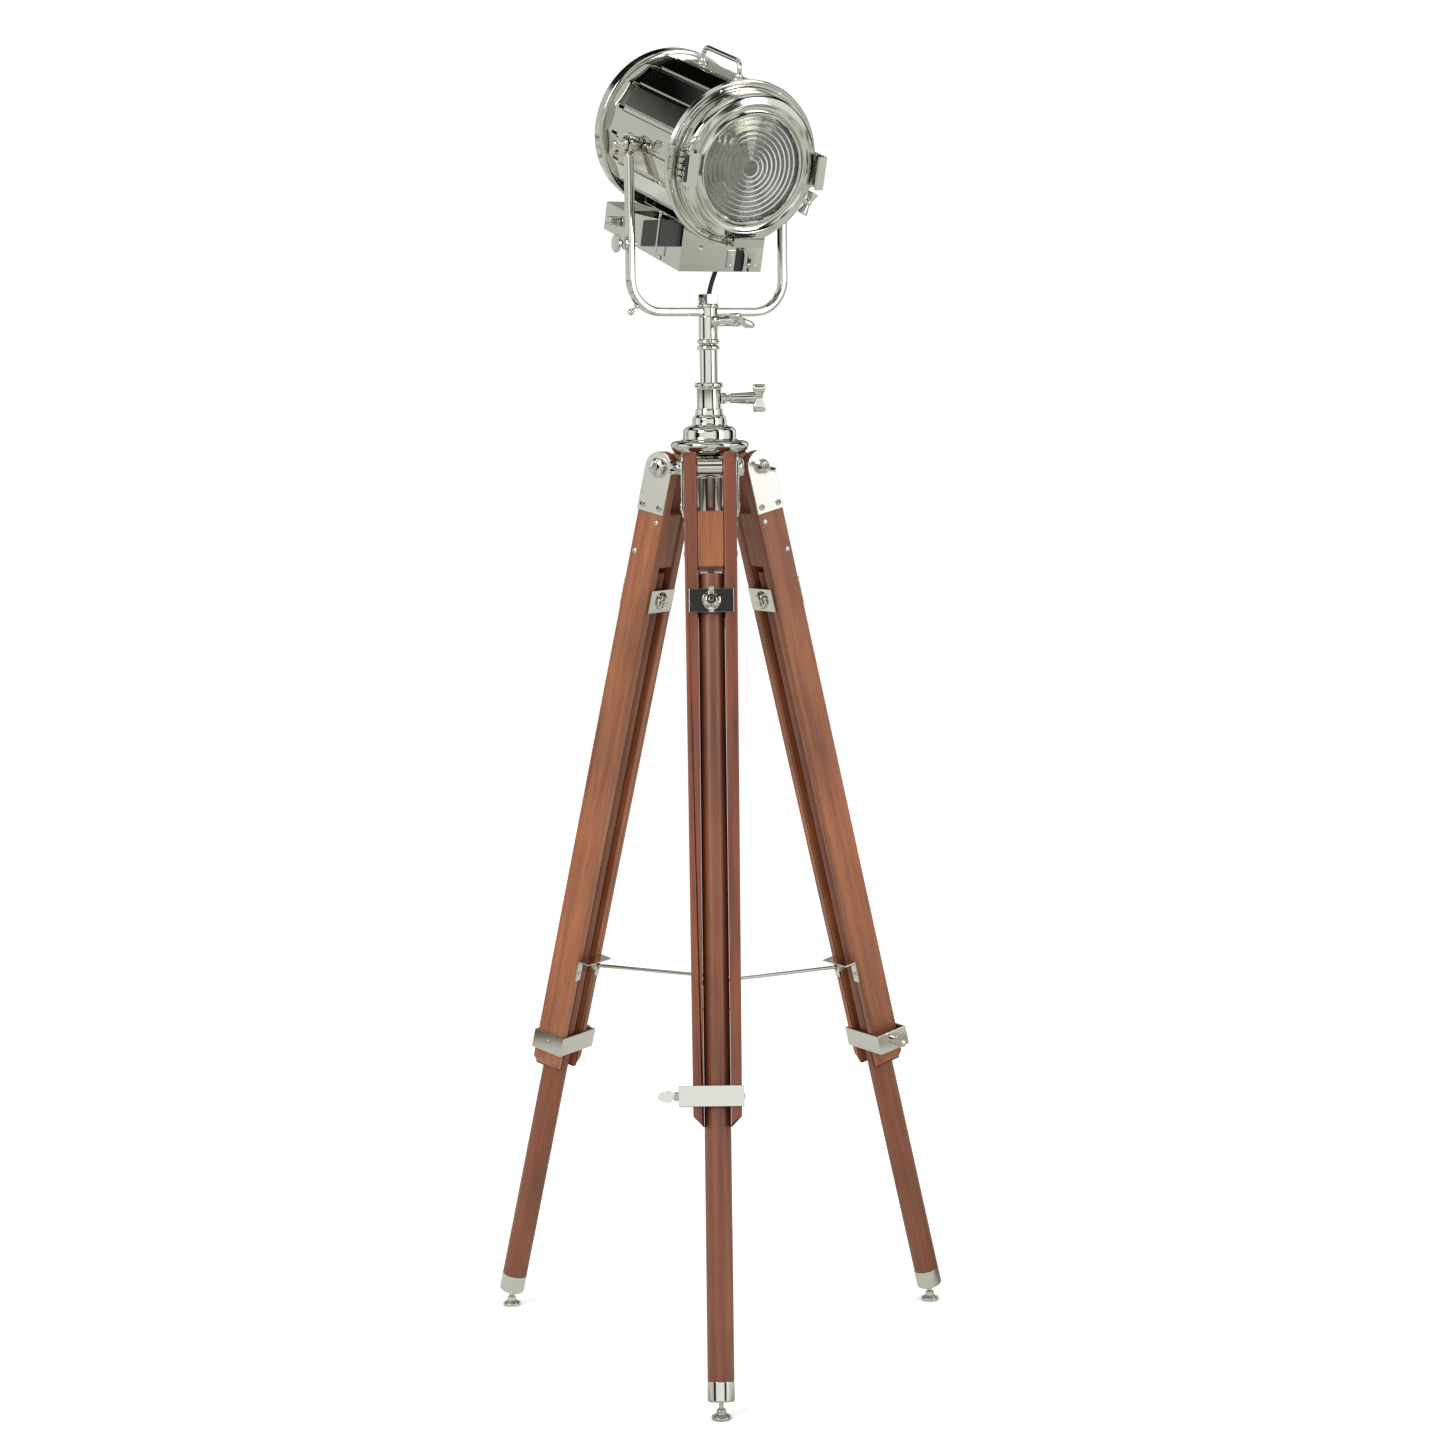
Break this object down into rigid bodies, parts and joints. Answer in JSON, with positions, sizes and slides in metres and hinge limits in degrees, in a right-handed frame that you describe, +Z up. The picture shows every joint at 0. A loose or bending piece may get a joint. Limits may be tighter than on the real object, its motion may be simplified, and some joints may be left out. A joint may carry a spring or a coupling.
{
  "type": "tripod floor lamp",
  "caption": "Search-light floor lamp: a tilting drum head with a stepped lens in a yoke, on a column in a folding wooden tripod with sliding lower legs.",
  "frame": {"origin": "on the floor, under the axis of the column", "axes": "+Z up along the column; -Y out along the front leg; +X to the right seen from the front"},
  "size_m": [0.6666, 0.587, 1.8546],
  "materials": {
    "nickel_steel": "polished nickel plate on steel",
    "nickel_casting": "polished nickel plate on cast alloy",
    "nickel_sheet": "polished nickel plate on spun sheet",
    "stained_wood": "stained, satin",
    "black_plastic": "moulded, matt",
    "cord_rubber": "smooth",
    "lens_glass": "pressed, clear",
    "bulb_glass": "clear",
    "mirror": "bright"
  },
  "bodies": {
    "crown": {"crown_cap": "nickel_casting", "lug_body": "nickel_casting"},
    "leg_front": {"rails_front": "stained_wood", "pivot_fittings_front": "nickel_steel", "clamp_band_front": "nickel_steel", "stay_bracket_front": "nickel_steel"},
    "stay_front": {"stay_rod_front": "nickel_steel"},
    "lower_leg_front": {"lower_leg_front": "stained_wood", "guide_plates_front": "nickel_steel", "foot_ferrule_front": "nickel_steel"},
    "guide_wing_front": {"guide_wing_front": "nickel_steel"},
    "band_screw_front": {"band_screw_front": "nickel_steel"},
    "level_foot_front": {"level_foot_front": "nickel_steel"},
    "leg_left": {"rails_left": "stained_wood", "pivot_fittings_left": "nickel_steel", "clamp_band_left": "nickel_steel", "stay_bracket_left": "nickel_steel"},
    "stay_left": {"stay_rod_left": "nickel_steel"},
    "lower_leg_left": {"lower_leg_left": "stained_wood", "guide_plates_left": "nickel_steel", "foot_ferrule_left": "nickel_steel"},
    "guide_wing_left": {"guide_wing_left": "nickel_steel"},
    "band_screw_left": {"band_screw_left": "nickel_steel"},
    "level_foot_left": {"level_foot_left": "nickel_steel"},
    "leg_right": {"rails_right": "stained_wood", "pivot_fittings_right": "nickel_steel", "clamp_band_right": "nickel_steel", "stay_bracket_right": "nickel_steel"},
    "stay_right": {"stay_rod_right": "nickel_steel"},
    "lower_leg_right": {"lower_leg_right": "stained_wood", "guide_plates_right": "nickel_steel", "foot_ferrule_right": "nickel_steel"},
    "guide_wing_right": {"guide_wing_right": "nickel_steel"},
    "band_screw_right": {"band_screw_right": "nickel_steel"},
    "level_foot_right": {"level_foot_right": "nickel_steel"},
    "stay_hub": {"stay_hub": "nickel_casting"},
    "collar_handle": {"collar_handle": "nickel_steel"},
    "column": {"column_tube": "nickel_steel"},
    "yoke": {"yoke_strap": "nickel_steel", "swivel_sleeve": "nickel_steel"},
    "swivel_handle": {"swivel_handle": "nickel_steel"},
    "arm_thumbscrew": {"arm_thumbscrew": "nickel_steel"},
    "head": {"drum_shell": "nickel_sheet", "trunnion_pins": "nickel_steel", "back_cover": "nickel_sheet", "front_collar": "nickel_sheet", "carry_handle": "nickel_steel", "control_box": "nickel_sheet", "box_panel": "black_plastic", "lamp_cord": "cord_rubber"},
    "tilt_wing_left": {"tilt_wing_left": "nickel_steel"},
    "tilt_wing_right": {"tilt_wing_right": "nickel_steel"},
    "lens_door": {"door_bezel": "nickel_sheet", "fresnel_lens": "lens_glass", "frame_clips": "nickel_sheet"},
    "door_latch": {"door_latch": "nickel_steel"},
    "carriage": {"lamp_carriage": "nickel_sheet", "lamp_bulb": "bulb_glass", "reflector": "mirror"},
    "focus_knob": {"focus_knob": "nickel_steel"}
  },
  "joints": [
    {"name": "leg_fold_front", "type": "hinge", "parent": "crown", "child": "leg_front", "pos_m": [0, -0.061, 1.263], "axis": [1, 0, 0], "range_deg": [0, 12]},
    {"name": "stay_swing_front", "type": "hinge", "parent": "leg_front", "child": "stay_front", "pos_m": [0, -0.20929, 0.5187], "axis": [1, 0, 0], "range_deg": [-6.4, 0]},
    {"name": "leg_slide_front", "type": "slide", "parent": "leg_front", "child": "lower_leg_front", "axis": [0, -0.2379, -0.9713], "range_m": [0, 0.45]},
    {"name": "guide_wing_turn_front", "type": "hinge", "parent": "lower_leg_front", "child": "guide_wing_front", "pos_m": [0, -0.13581, 1.08365], "axis": [0, -0.9713, 0.2379], "range_deg": [0, 270]},
    {"name": "band_screw_turn_front", "type": "hinge", "parent": "leg_front", "child": "band_screw_front", "pos_m": [-0.06, -0.26793, 0.41797], "axis": [-1, 0, 0], "range_deg": [0, 270]},
    {"name": "level_foot_turn_front", "type": "hinge", "parent": "lower_leg_front", "child": "level_foot_front", "pos_m": [0, -0.3645, 0], "axis": [0, 0, 1], "continuous": true},
    {"name": "leg_fold_left", "type": "hinge", "parent": "crown", "child": "leg_left", "pos_m": [-0.05283, 0.0305, 1.263], "axis": [-0.5, -0.866, 0], "range_deg": [0, 12]},
    {"name": "stay_swing_left", "type": "hinge", "parent": "leg_left", "child": "stay_left", "pos_m": [-0.17828, 0.10293, 0.5327], "axis": [-0.5, -0.866, 0], "range_deg": [-6.4, 0]},
    {"name": "leg_slide_left", "type": "slide", "parent": "leg_left", "child": "lower_leg_left", "axis": [-0.206, 0.1189, -0.9713], "range_m": [0, 0.45]},
    {"name": "guide_wing_turn_left", "type": "hinge", "parent": "lower_leg_left", "child": "guide_wing_left", "pos_m": [-0.11761, 0.0679, 1.08365], "axis": [-0.8412, 0.4857, 0.2379], "range_deg": [0, 270]},
    {"name": "band_screw_turn_left", "type": "hinge", "parent": "leg_left", "child": "band_screw_left", "pos_m": [-0.20204, 0.18593, 0.41797], "axis": [0.5, 0.866, 0], "range_deg": [0, 270]},
    {"name": "level_foot_turn_left", "type": "hinge", "parent": "lower_leg_left", "child": "level_foot_left", "pos_m": [-0.31567, 0.18225, 0], "axis": [0, 0, 1], "continuous": true},
    {"name": "leg_fold_right", "type": "hinge", "parent": "crown", "child": "leg_right", "pos_m": [0.05283, 0.0305, 1.263], "axis": [-0.5, 0.866, 0], "range_deg": [0, 12]},
    {"name": "stay_swing_right", "type": "hinge", "parent": "leg_right", "child": "stay_right", "pos_m": [0.17977, 0.10379, 0.5257], "axis": [-0.5, 0.866, 0], "range_deg": [-6.4, 0]},
    {"name": "leg_slide_right", "type": "slide", "parent": "leg_right", "child": "lower_leg_right", "axis": [0.206, 0.1189, -0.9713], "range_m": [0, 0.45]},
    {"name": "guide_wing_turn_right", "type": "hinge", "parent": "lower_leg_right", "child": "guide_wing_right", "pos_m": [0.11761, 0.0679, 1.08365], "axis": [0.8412, 0.4857, 0.2379], "range_deg": [0, 270]},
    {"name": "band_screw_turn_right", "type": "hinge", "parent": "leg_right", "child": "band_screw_right", "pos_m": [0.26204, 0.08201, 0.41797], "axis": [0.5, -0.866, 0], "range_deg": [0, 270]},
    {"name": "level_foot_turn_right", "type": "hinge", "parent": "lower_leg_right", "child": "level_foot_right", "pos_m": [0.31567, 0.18225, 0], "axis": [0, 0, 1], "continuous": true},
    {"name": "hub_slide", "type": "slide", "parent": "crown", "child": "stay_hub", "axis": [0, 0, 1], "range_m": [-0.0095, 0]},
    {"name": "collar_handle_turn", "type": "hinge", "parent": "crown", "child": "collar_handle", "pos_m": [0.04, 0, 1.3585], "axis": [1, 0, 0], "range_deg": [0, 270]},
    {"name": "column_slide", "type": "slide", "parent": "crown", "child": "column", "axis": [0, 0, 1], "range_m": [-0.045, 0.25]},
    {"name": "yoke_pan", "type": "hinge", "parent": "column", "child": "yoke", "pos_m": [0, 0, 1.45], "axis": [0, 0, 1], "range_deg": [-170, 170]},
    {"name": "swivel_handle_turn", "type": "hinge", "parent": "yoke", "child": "swivel_handle", "pos_m": [0, 0, 1.466], "axis": [0.7071, -0.7071, 0], "range_deg": [0, 270]},
    {"name": "thumbscrew_turn", "type": "hinge", "parent": "yoke", "child": "arm_thumbscrew", "pos_m": [-0.10644, -0.05755, 1.5735], "axis": [-0.8796, -0.4756, 0], "range_deg": [0, 270]},
    {"name": "head_tilt", "type": "hinge", "parent": "yoke", "child": "head", "pos_m": [0, 0, 1.7095], "axis": [0.8796, 0.4756, 0], "range_deg": [-30, 30], "deforming": ["lamp_cord"]},
    {"name": "tilt_wing_turn_left", "type": "hinge", "parent": "head", "child": "tilt_wing_left", "pos_m": [-0.11435, -0.06183, 1.7095], "axis": [-0.8796, -0.4756, 0], "range_deg": [0, 270]},
    {"name": "tilt_wing_turn_right", "type": "hinge", "parent": "head", "child": "tilt_wing_right", "pos_m": [0.11435, 0.06183, 1.7095], "axis": [0.8796, 0.4756, 0], "range_deg": [0, 270]},
    {"name": "door_swing", "type": "hinge", "parent": "head", "child": "lens_door", "pos_m": [-0.04582, -0.14653, 1.67675], "axis": [-0.1391, 0.2572, -0.9563], "range_deg": [0, 100]},
    {"name": "latch_turn", "type": "hinge", "parent": "head", "child": "door_latch", "pos_m": [0.13546, -0.02187, 1.63089], "axis": [0.7385, 0.5398, -0.4042], "range_deg": [0, 270]},
    {"name": "carriage_slide", "type": "slide", "parent": "head", "child": "carriage", "axis": [-0.4548, 0.8412, 0.2924], "range_m": [-0.024, 0.015]},
    {"name": "focus_turn", "type": "hinge", "parent": "head", "child": "focus_knob", "pos_m": [-0.12947, 0.09228, 1.61197], "axis": [0.8796, 0.4756, 0], "range_deg": [-90, 150]}
  ],
  "couplings": [
    {"joint": "stay_swing_front", "follows": "leg_fold_front", "ratio": -0.49057},
    {"joint": "leg_fold_left", "follows": "leg_fold_front", "ratio": 1},
    {"joint": "stay_swing_left", "follows": "leg_fold_front", "ratio": -0.51248},
    {"joint": "leg_fold_right", "follows": "leg_fold_front", "ratio": 1},
    {"joint": "stay_swing_right", "follows": "leg_fold_front", "ratio": -0.50448},
    {"joint": "hub_slide", "follows": "leg_fold_front", "m_per_rad": -0.043021},
    {"joint": "focus_turn", "follows": "carriage_slide", "rad_per_m": -100}
  ]
}
